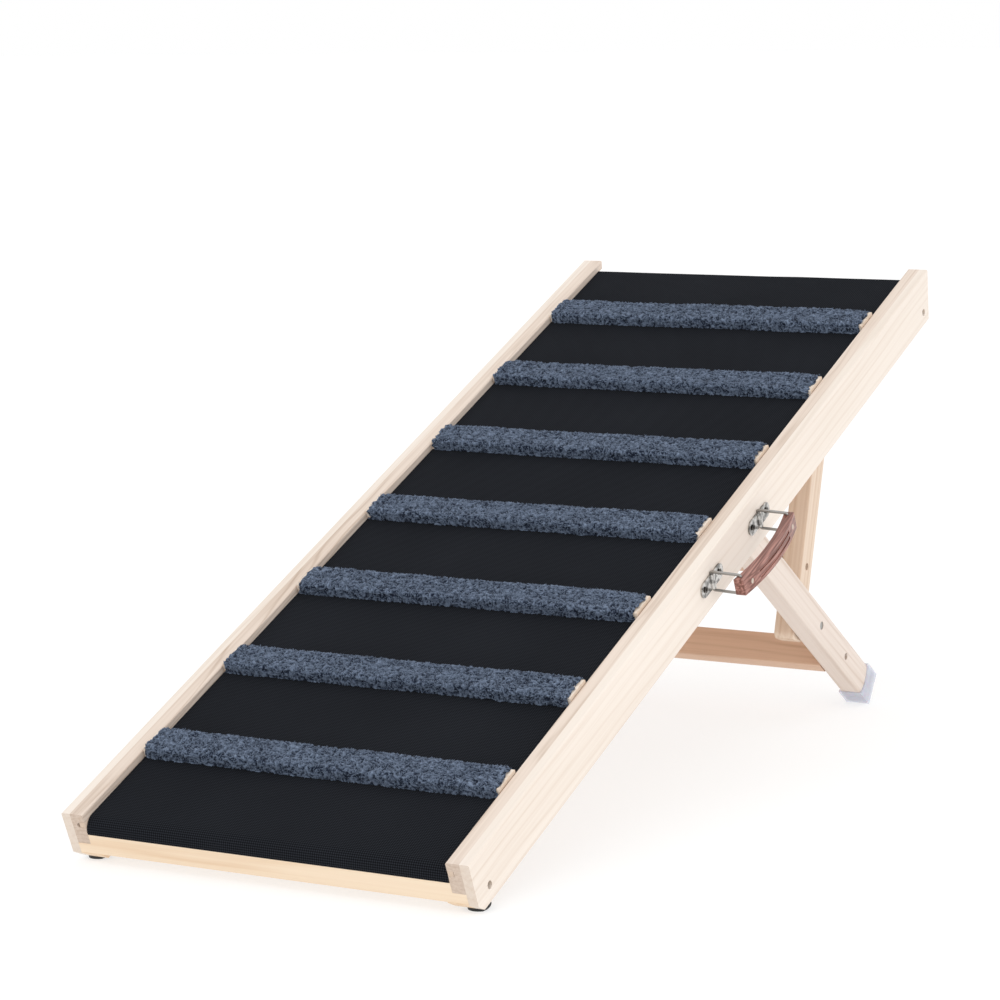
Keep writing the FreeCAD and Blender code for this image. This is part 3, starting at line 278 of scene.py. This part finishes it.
# %% Wood
def pine(name, turn, light, dark, seed, ring=0.011, contrast=1.0):
    """Pale sanded softwood whose grain runs along y after the turn."""
    look = Look(name, Specular_IOR_Level=0.3)
    shift = (0.37 * seed, 1.7 * seed, 0.21 * seed)

    def grain(across, along, detail, roughness=0.5):
        """Noise stretched along the board, with these many cells in a metre."""
        cells = look.coordinates(turn, (across, along, across), shift)
        return look.noise(cells, 1.0, detail, roughness)

    slow = grain(9.0, 1.6, 3.0)
    spacing = grain(40.0, 0.8, 2.0)
    streaks = grain(320.0, 4.0, 3.0, 0.65)
    pores = grain(1500.0, 30.0, 1.0)
    patches = grain(12.0, 2.0, 1.0)

    aside = 0.05 + 0.013 * (seed % 5)
    x, _, z = look.parts(look.coordinates(turn, move=(aside, 0.0, 0.07)))
    heart = (x * x + z * z * 1.7) ** 0.5
    rings = heart + slow * 0.05 + spacing * 0.02
    late = ((rings * (2 * math.pi / ring)).sine() * 0.5 + 0.5) ** 5.0
    share = late * spacing * 0.35 + streaks * 0.65 + patches.between(0.3, 0.75) * 0.25 - 0.27
    long_grain = look.mix((share * contrast).between(-0.05, 0.75), light, dark)

    normal = look.node("ShaderNodeTexCoord", output="Normal")
    _, facing, _ = look.parts(look.mapped(normal, Rotation=turn))
    end = facing.size().between(0.7, 0.95)
    color = look.mix(end * (streaks * 0.5 + 0.25), long_grain, dark)
    return look.finish(color, streaks * 0.2 + 0.45, pores * 0.5 + late * 0.5, 0.00012, 0.35)


def turn_for(degrees):
    """The Mapping rotation that lays a grain with this slope along y."""
    return (-math.radians(degrees), 0.0, 0.0)


def slope_of(run):
    """The slope of a run in the side view, in degrees."""
    return math.degrees(math.atan2(run[2], run[1]))


SLOPE_DEGREES = math.degrees(SLOPE)
leg_joint = np.array(joints["leg_fold"]["pos_m"])
knee_joint = np.array(joints["strut_fold"]["pos_m"])
rod_low, rod_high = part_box("strut_rod")
rod = np.array((rod_low + rod_high) / 2)
LEG_DEGREES = slope_of(knee_joint - leg_joint)
STRUT_DEGREES = slope_of(rod - knee_joint)
print(f"grain: rails {SLOPE_DEGREES:.1f}, legs {LEG_DEGREES:.1f}, "
      f"struts {STRUT_DEGREES:.1f} degrees")

BY_RAIL, BY_LEG, BY_STRUT = (turn_for(d) for d in (SLOPE_DEGREES, LEG_DEGREES, STRUT_DEGREES))
CROSSWAYS = (0.0, 0.0, math.radians(90))
TREADS = range(1, 8)

# Each tone is the light wood between the rings and the dark wood of a ring.
CREAM = (0.855, 0.77, 0.69), (0.66, 0.535, 0.43)
WARM = (0.90, 0.735, 0.555), (0.76, 0.54, 0.35)
# Pine's tan, darkened further with painted shade, for the legs, bars and racks under the ramp.
TAN_WITH_PAINTED_SHADE = (0.69, 0.475, 0.345), (0.42, 0.25, 0.16)
LEDGE = (0.78, 0.665, 0.575), (0.50, 0.375, 0.285)
LEG = (0.79, 0.69, 0.62), (0.56, 0.43, 0.34)
STRUT = (0.82, 0.68, 0.555), (0.56, 0.37, 0.24)
SLAT = (0.84, 0.74, 0.645), (0.68, 0.54, 0.42)
PLY = (0.74, 0.60, 0.49), (0.56, 0.42, 0.31)
SOFT = {"contrast": 0.8}
CLOSE_RINGS = {"ring": 0.0045, "contrast": 1.25}
VENEER = {"ring": 0.03}

# Material, grain, tone, place in the tree, what differs from plain pine, and its nodes.
BOARDS = (
    ("pine_left_rail", BY_RAIL, CREAM, 1, SOFT, ["left_rail"]),
    ("pine_right_rail", BY_RAIL, CREAM, 2, SOFT, ["right_rail"]),
    ("pine_left_ledge", BY_RAIL, LEDGE, 14, CLOSE_RINGS, ["left_ledge"]),
    ("pine_right_ledge", BY_RAIL, LEDGE, 17, CLOSE_RINGS, ["right_ledge"]),
    ("pine_front_bar", CROSSWAYS, WARM, 3, {}, ["front_crossbar"]),
    ("pine_blocks", BY_RAIL, WARM, 4, {},
     ["left_foot_block", "right_foot_block", "left_pivot_block", "right_pivot_block"]),
    ("pine_top_bar", CROSSWAYS, TAN_WITH_PAINTED_SHADE, 5, {}, ["top_crossbar"]),
    ("pine_left_leg", BY_LEG, TAN_WITH_PAINTED_SHADE, 6, {}, ["left_leg"]),
    ("pine_right_leg", BY_LEG, LEG, 7, {}, ["right_leg"]),
    ("pine_struts", BY_STRUT, STRUT, 8, {}, ["left_strut", "right_strut"]),
    ("pine_leg_bar", CROSSWAYS, TAN_WITH_PAINTED_SHADE, 9, {}, ["leg_crossbar"]),
    ("pine_strut_bar", CROSSWAYS, TAN_WITH_PAINTED_SHADE, 10, {}, ["strut_crossbar"]),
    ("pine_racks", BY_RAIL, TAN_WITH_PAINTED_SHADE, 11, {}, ["left_rack", "right_rack"]),
    ("plywood", BY_RAIL, PLY, 12, VENEER, ["deck_board"]),
    ("pine_slats", CROSSWAYS, SLAT, 13, {}, [f"tread_slat_{k}" for k in TREADS]),
)
for name, turn, tone, seed, grain, nodes in BOARDS:
    paint(pine(name, turn, *tone, seed, **grain), *nodes)

# %% [markdown]
# ## Metal, rubber and plastic
#
# These keep the CAD's shape, so only their surfaces are made here: brackets and screws
# with a bright plating that has dark patches of painted reflection, plain wires and zinc
# bolts, dull rubber, a milky sleeve on each foot, and the grip's satin brown with rubbed
# lighter streaks along it.

# %% Fittings
def plating_with_painted_reflection(name, color, low, high):
    """Bright plating with dark patches of painted reflection, and a roughness from low to high."""
    look = Look(name, Metallic=1.0)
    spread = look.noise(look.coordinates(), 170.0, 3.0)
    # The dark patches are painted reflection: the plating's colour falls to a third where the
    # noise is low.
    tone = look.mix(spread.between(0.36, 0.62), tuple(0.32 * c for c in color), color)
    return look.finish(tone, spread * (high - low) + low, spread, 0.0003, 0.4)


def matt(name, color, lighter, scale, rough, metallic=0.0):
    """One colour that drifts a little, at scale cells in a metre."""
    look = Look(name, Metallic=metallic)
    spread = look.noise(look.coordinates(), scale, 4.0)
    return look.finish(look.mix(spread, color, lighter), spread * 0.2 + rough, spread, 0.0002, 0.3)


def sleeve():
    """Milky translucent plastic, thin enough for the wood to tint it."""
    look = Look("sleeve", IOR=1.45, Subsurface_Weight=0.15, Subsurface_Scale=0.004)
    cloud = look.noise(look.coordinates(), 90.0, 3.0)
    look.set(look.shader, "Alpha", cloud * 0.1 + 0.46)
    color = look.mix(cloud, (0.62, 0.64, 0.76), (0.80, 0.83, 0.93))
    return look.finish(color, cloud * 0.1 + 0.12, cloud, 0.0003, 0.1)


def grip_plastic():
    """Brown moulded plastic, rubbed paler along its length."""
    look = Look("grip_plastic")
    rub = look.noise(look.coordinates(BY_RAIL, (500.0, 18.0, 500.0)), 1.0, 3.0)
    fine = look.noise(look.coordinates(), 1400.0, 2.0)
    color = look.mix(rub.between(0.35, 0.75), (0.155, 0.052, 0.034), (0.47, 0.225, 0.185))
    return look.finish(color, rub * 0.25 + 0.24, fine, 0.00015, 0.25)


nickel = plating_with_painted_reflection("nickel", (0.62, 0.60, 0.575), 0.14, 0.30)
wire = matt("wire", (0.30, 0.29, 0.28), (0.40, 0.39, 0.375), 60.0, 0.22, metallic=1.0)
zinc = matt("zinc", (0.36, 0.355, 0.34), (0.45, 0.44, 0.42), 120.0, 0.32, metallic=1.0)
screw_steel = plating_with_painted_reflection("screw_steel", (0.14, 0.125, 0.11), 0.25, 0.42)
rubber = matt("rubber", (0.008, 0.008, 0.008), (0.02, 0.02, 0.02), 500.0, 0.55)
rivet = matt("rivet", (0.50, 0.40, 0.33), (0.62, 0.52, 0.44), 900.0, 0.35)

paint(nickel, "lower_handle_bracket", "upper_handle_bracket")
paint(wire, "lower_handle_bail", "upper_handle_bail")
paint(zinc, "strut_rod", "tread_screws", "leg_pivot_bolts", "leg_pivot_washers",
      "strut_pivot_bolts", "strut_pivot_washers")
paint(screw_steel, "rail_screws", "bracket_screws", "leg_crossbar_screws", "strut_crossbar_screws")
paint(rubber, "left_front_pad", "right_front_pad")
paint(rivet, "grip_rivets")
paint(sleeve(), "left_foot_cap", "right_foot_cap")
paint(grip_plastic(), "handle_grip")

# %% [markdown]
# ## The woven deck
#
# The deck's cloth is stretched flat over the board and turned down over the rounded
# nose. Its profile is the nose's quarter circle and then one straight run, and the UV
# map follows the cloth's own length, so the weave turns the corner without stretching.

# %% Deck cloth
FABRIC_SKIN = 0.0003
RIPPLE = 0.0005
RIPPLE_FADE = 0.02
TWILL = 0.0042
deck_low, deck_high = extent("deck_fabric", ALONG)
deck_left, deck_right = extent("deck_fabric", ACROSS)
deck_bottom, deck_top = extent("deck_fabric", OUT)
NOSE = deck_top - deck_bottom


def deck_profile(steps_flat=260, steps_nose=24):
    """Points (along, out) and running length of the cloth: up the nose's arc, where
    along = a + r(1 - cos t) and out = b + r sin t, and then straight to the top end."""
    t = np.linspace(0, math.pi / 2, steps_nose)
    radius = NOSE + FABRIC_SKIN
    along = deck_low - FABRIC_SKIN + radius * (1 - np.cos(t))
    arc = np.stack([along, deck_bottom + radius * np.sin(t)], 1)
    run = np.linspace(arc[-1, 0], deck_high, steps_flat + 1)[1:]
    flat = np.stack([run, np.full(steps_flat, arc[-1, 1])], 1)
    points = np.concatenate([arc, flat])
    steps = np.linalg.norm(np.diff(points, axis=0), axis=1)
    return points, np.concatenate([[0], np.cumsum(steps)])


def deck_sheet(columns=90):
    """The cloth, with the faint sag and ripple that a glued weave has."""
    profile, length = deck_profile()
    u, v = np.meshgrid(np.linspace(deck_left, deck_right, columns), length)
    ripple = (lattice_noise(u * 22 + 40, v * 14 + 40, 3) - 0.5) * RIPPLE
    past_nose = v > 1.6 * NOSE
    from_left = np.clip((u - deck_left) / RIPPLE_FADE, 0, 1)
    from_right = np.clip((deck_right - u) / RIPPLE_FADE, 0, 1)
    ripple = ripple * past_nose * from_left * from_right
    points = place(u, profile[:, :1] + 0 * u, profile[:, 1:] + ripple)
    uv = np.stack([(u - deck_left).ravel(), v.ravel()], 1)
    faces = grid_faces(len(profile), columns)
    return new_piece("deck_cloth", points, faces, uv), length[-1]


def weave():
    """Black twill: two diagonal sets of ridges, and fine yarns within them."""
    look = Look("weave", Specular_IOR_Level=0.05)
    u, v, _ = look.parts(look.node("ShaderNodeUVMap", {"uv_map": "UVMap"}))
    turn = 2 * math.pi / TWILL
    ridge = ((u + v) * turn).sine() * ((u - v) * turn).sine()
    yarn = (u * (turn * 3)).sine() * (v * (turn * 3)).sine()
    wear = look.noise(look.coordinates(), 9.0, 4.0)
    share = ridge * 0.8 + yarn * 0.2 + wear * 0.4 + 0.15
    color = look.mix(share, (0.0035, 0.004, 0.0055), (0.027, 0.030, 0.037))
    return look.finish(color, wear * 0.1 + 0.88, ridge * 0.7 + yarn * 0.3, 0.0004, 0.5)


deck, deck_length = deck_sheet()
deck.data.materials.append(weave())
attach(deck, "ramp")
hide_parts("deck_fabric")
deck_right - deck_left
print(f"deck cloth {deck_right - deck_left:.3f} by {deck_length:.3f} m")

# %% [markdown]
# ## Plush treads
#
# Each slat is wrapped in a strip of curly plush. The strip is a rounded arch in section;
# its surface is pushed in and out by two sizes of ridged noise, where ridge = 1 - |2n - 1|
# of noise n read at wandering places, so that the ridges curl like loops of yarn. Short
# curled loops stand on it, which is what breaks up its outline.

# %% Plush
# The yarn's crests lightened with a painted highlight, and painted shade, nearly black, in the
# hollows between them.
PLUSH_LIT_CREST, PLUSH_SHADED_GAP = (0.255, 0.325, 0.45), (0.011, 0.017, 0.034)
PLUSH_SKIN, STRIP_RUN = 0.0016, 0.056
SHOULDER, ARCH_STEPS = 0.0032, 9
ABOVE_DECK = 0.0004
WANDER, WANDER_CELL = 0.0030, 0.0042
WIDE_CURL, FINE_CURL = (0.0032, 0.0026), (0.0016, 0.0013)
CREST, SWELL = 0.0019, 0.0012
RAGGED, RAGGED_FADE = 0.0035, 0.006
TUCK, TUCK_FADE = 0.0008, 0.003
LOOP_POINTS, LOOP_ROOT, LOOP_ABOVE_DECK = 6, 0.0004, 0.0003
LOOP_RADIUS, YARN_WIDTH = (0.0005, 0.0010), (0.00016, 0.0003)


def plush_look(name, light, dark):
    """Blue-grey yarn with a painted highlight on the crests and painted shade, nearly black,
    between them.
    """
    look = Look(name, Specular_IOR_Level=0.06, Sheen_Weight=0.08, Sheen_Roughness=0.5)
    height = look.node("ShaderNodeAttribute", {"attribute_name": "height"}, output="Fac")
    patch = look.noise(look.coordinates(), 60.0, 3.0)
    yarn = look.noise(look.coordinates(), 900.0, 3.0, 0.7)
    # Higher points get the painted highlight and lower ones the painted shade.
    share = height * 0.85 + patch * 0.25 + yarn * 0.55 - 0.55
    color = look.mix(share.between(-0.1, 1.05), dark, light)
    return look.finish(color, yarn * 0.1 + 0.85, yarn, 0.0008, 0.8)


def arch(slat, skin, steps):
    """Points, normals and running length of the strip's section, from the deck on the
    downhill side, over the slat with round shoulders, to the deck on the uphill side."""
    low, high = extent(slat, ALONG)
    base, top = extent(slat, OUT)
    low, high, top = low - skin, high + skin, top + skin
    foot, bend = base + ABOVE_DECK, top - SHOULDER
    t = np.linspace(0, math.pi / 2, ARCH_STEPS)
    inward, upward = SHOULDER * (1 - np.cos(t)), bend + SHOULDER * np.sin(t)
    up = np.stack([np.full(ARCH_STEPS, low), np.linspace(foot, bend, ARCH_STEPS)], 1)
    first = np.stack([low + inward, upward], 1)
    second = np.stack([high - inward, upward], 1)[::-1]
    down = np.stack([np.full(ARCH_STEPS, high), np.linspace(bend, foot, ARCH_STEPS)], 1)
    line = np.concatenate([up, first[1:], second, down[1:]])
    far = np.concatenate([[0], np.cumsum(np.linalg.norm(np.diff(line, axis=0), axis=1))])
    length = np.linspace(0, far[-1], steps)
    points = np.stack([np.interp(length, far, line[:, 0]), np.interp(length, far, line[:, 1])], 1)
    step = np.gradient(points, axis=0)
    step /= np.linalg.norm(step, axis=1, keepdims=True)
    return points, np.stack([-step[:, 1], step[:, 0]], 1), length


def ridged(u, v, cell, seed):
    """Noise with sharp crests, where 1 - |2n - 1| is 1 at the middle of n."""
    return 1 - np.abs(2 * lattice_noise(u / cell[0], v / cell[1], seed) - 1)


def curl(u, v, seed):
    """Ridged noise from 0 to 1 at wandering places, which looks like packed loops."""
    cell_u, cell_v = u / WANDER_CELL, v / WANDER_CELL
    wander_u = u + WANDER * (lattice_noise(cell_u, cell_v, seed) - 0.5)
    wander_v = v + WANDER * (lattice_noise(cell_u, cell_v, seed + 1) - 0.5)
    wide = ridged(wander_u, wander_v, WIDE_CURL, seed + 2)
    fine = ridged(wander_u, wander_v, FINE_CURL, seed + 3)
    return np.clip((0.55 * wide + 0.45 * fine - 0.3) / 0.65, 0, 1) ** 1.2


def store_height(piece, height):
    """Keeps each point's height, from 0 to 1, for the plush's painted highlight and painted shade.
    """
    layer = piece.data.attributes.new("height", "FLOAT", "POINT")
    layer.data.foreach_set("value", height.astype(np.float32).ravel())


def plush_strip(k, cell):
    """One tread's strip, its points pushed along the section's normals by the curls."""
    slat, cover = f"tread_slat_{k}", f"tread_plush_{k}"
    left, right = extent(cover, ACROSS)
    section, normal, length = arch(slat, PLUSH_SKIN, int(STRIP_RUN / cell))
    x = np.linspace(left, right, int((right - left) / cell))
    u, v = np.meshgrid(x, length)
    edge = np.minimum(u - left, right - u)
    ragged = (lattice_noise(v / 0.004 + 9 * k, 0 * v + k, 40 + k) - 0.3) * RAGGED
    u = u + np.where(u > 0, 1, -1) * ragged * np.clip(1 - edge / RAGGED_FADE, 0, 1)
    height = curl(u + 3.0, v + 1.0, 100 * k)
    swell = (lattice_noise(u / 0.03 + 50, v / 0.02 + 50, 500 + k) - 0.5) * SWELL
    push = (height - 0.45) * CREST + swell - TUCK * (1 - np.clip(edge / TUCK_FADE, 0, 1))
    along = section[:, :1] + normal[:, :1] * push
    out = section[:, 1:] + normal[:, 1:] * push
    out = np.maximum(out, deck_top + ABOVE_DECK)
    points = place(u, along, out)
    uv = np.stack([(u - left).ravel(), v.ravel()], 1)
    piece = new_piece(f"plush_{k}", points, grid_faces(len(length), len(x))[:, ::-1], uv)
    store_height(piece, height)
    return piece, (u, along, out, normal), (right - left, length[-1])


def loops(k, surface, count):
    """Short curled loops of yarn: ribbons of five spans that rise by 1.2 r sin t and
    lean over by r(1 - cos t) in a random direction."""
    u, along, out, normal = surface
    draw = np.random.default_rng(900 + k)
    row = draw.integers(1, u.shape[0] - 1, count)
    column = draw.integers(1, u.shape[1] - 1, count)
    root = np.stack([u[row, column], along[row, column], out[row, column]], 1)
    up = np.stack([np.zeros(count), normal[row, 0], normal[row, 1]], 1)
    side = draw.normal(size=(count, 3))
    side -= (side * up).sum(1, keepdims=True) * up
    side /= np.linalg.norm(side, axis=1, keepdims=True)
    width = np.cross(up, side) * draw.uniform(*YARN_WIDTH, (count, 1))
    radius = draw.uniform(*LOOP_RADIUS, (count, 1))
    t = np.linspace(0, 1.1 * math.pi, LOOP_POINTS)
    rise = up[:, None] * (radius[:, None] * np.sin(t)[None, :, None] * 1.2)
    lean = side[:, None] * (radius[:, None] * (1 - np.cos(t))[None, :, None])
    path = root[:, None] - up[:, None] * LOOP_ROOT + rise + lean
    path[..., 2] = np.maximum(path[..., 2], deck_top + LOOP_ABOVE_DECK)
    ribbon = np.stack([path - width[:, None], path + width[:, None]], 2).reshape(-1, 3)
    ribbons, spans = np.arange(count)[:, None], np.arange(LOOP_POINTS - 1)[None]
    first = ribbons * (2 * LOOP_POINTS) + spans * 2
    faces = np.stack([first, first + 1, first + 3, first + 2], -1).reshape(-1, 4)
    points = place(ribbon[:, 0], ribbon[:, 1], ribbon[:, 2])
    piece = new_piece(f"plush_loops_{k}", points, faces)
    # A loop's top gets the painted highlight and its root the painted shade.
    crest = (0.45 + 0.45 * np.sin(t))[None, :, None]
    store_height(piece, np.broadcast_to(crest, (count, LOOP_POINTS, 2)))
    return piece


yarn_look = plush_look("plush", PLUSH_LIT_CREST, PLUSH_SHADED_GAP)
CELL = 0.0007
LOOPS = 7000
for k in TREADS:
    strip, surface, flat = plush_strip(k, CELL)
    pile = loops(k, surface, LOOPS)
    for piece in (strip, pile):
        piece.data.materials.append(yarn_look)
        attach(piece, "ramp")
    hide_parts(f"tread_plush_{k}")
print(f"plush strips {flat[0]:.3f} by {flat[1]:.3f} m, {len(strip.data.polygons)} faces each")

# %% [markdown]
# ## Floor, light and camera
#
# A pale floor that glows a little runs into a bright sky. A broad soft light stands on
# the right, by the low end, and a weaker one hangs high on the left, so that shadows are
# faint. The camera is a long lens from the low end's right, a little above the deck.

# %% Floor and light
WHITE = (1.0, 1.0, 1.0)
FLOOR_GLOW = 0.62
FLOOR_HALF = 30.0


def floor():
    """A white stage, far wider than what the camera sees."""
    look = Look("floor", Roughness=0.9, Emission_Color=WHITE, Emission_Strength=FLOOR_GLOW)
    spread = look.noise(look.coordinates(), 3.0, 2.0)
    look.finish(look.mix(spread, (0.38, 0.38, 0.38), (0.40, 0.40, 0.40)))
    signs = np.array([[-1, -1, 0], [1, -1, 0], [1, 1, 0], [-1, 1, 0]])
    points = signs * FLOOR_HALF
    piece = new_piece("floor", points, np.array([[0, 1, 2, 3]]), smooth=False)
    piece.data.materials.append(look.material)


def panel(name, place_at, size, power):
    """A square lamp, size metres wide, that faces the ramp's middle."""
    lamp = bpy.data.lights.new(name, "AREA")
    lamp.size = size
    lamp.energy = power
    made = bpy.data.objects.new(name, lamp)
    made.location = place_at
    aim = Vector((0, 0, 0.2)) - made.location
    made.rotation_euler = aim.to_track_quat("-Z", "Y").to_euler()
    bpy.context.scene.collection.objects.link(made)


floor()
panel("key", (2.9, -1.3, 1.3), size=1.8, power=17)
panel("top", (-0.8, -1.6, 2.8), size=2.0, power=7)
world = bpy.data.worlds.new("sky")
world.use_nodes = True
sky = world.node_tree.nodes["Background"].inputs
sky["Color"].default_value = (*WHITE, 1.0)
sky["Strength"].default_value = 1.0
bpy.context.scene.world = world
bpy.context.scene.view_settings.view_transform = "Standard"

# %% Camera
CAMERA_AT = Vector((1.45329, -2.70408, 0.74241))
AZIMUTH, ELEVATION, ROLL = (math.radians(a) for a in (29.2546, 8.9004, -1.0541))
LENS, SENSOR_WIDTH = 117.96, 36.0
forward = Vector((
    -math.sin(AZIMUTH) * math.cos(ELEVATION),
    math.cos(AZIMUTH) * math.cos(ELEVATION),
    -math.sin(ELEVATION),
))
level = forward.cross(Vector((0, 0, 1))).normalized()
above = level.cross(forward)
right = level * math.cos(ROLL) + above * math.sin(ROLL)
up = right.cross(forward)
camera = bpy.data.cameras.new("camera")
camera.lens = LENS
camera.sensor_width = SENSOR_WIDTH
view = bpy.data.objects.new("camera", camera)
view.matrix_world = Matrix((
    (right.x, up.x, -forward.x, CAMERA_AT.x),
    (right.y, up.y, -forward.y, CAMERA_AT.y),
    (right.z, up.z, -forward.z, CAMERA_AT.z),
    (0, 0, 0, 1),
))
bpy.context.scene.collection.objects.link(view)
bpy.context.scene.camera = view
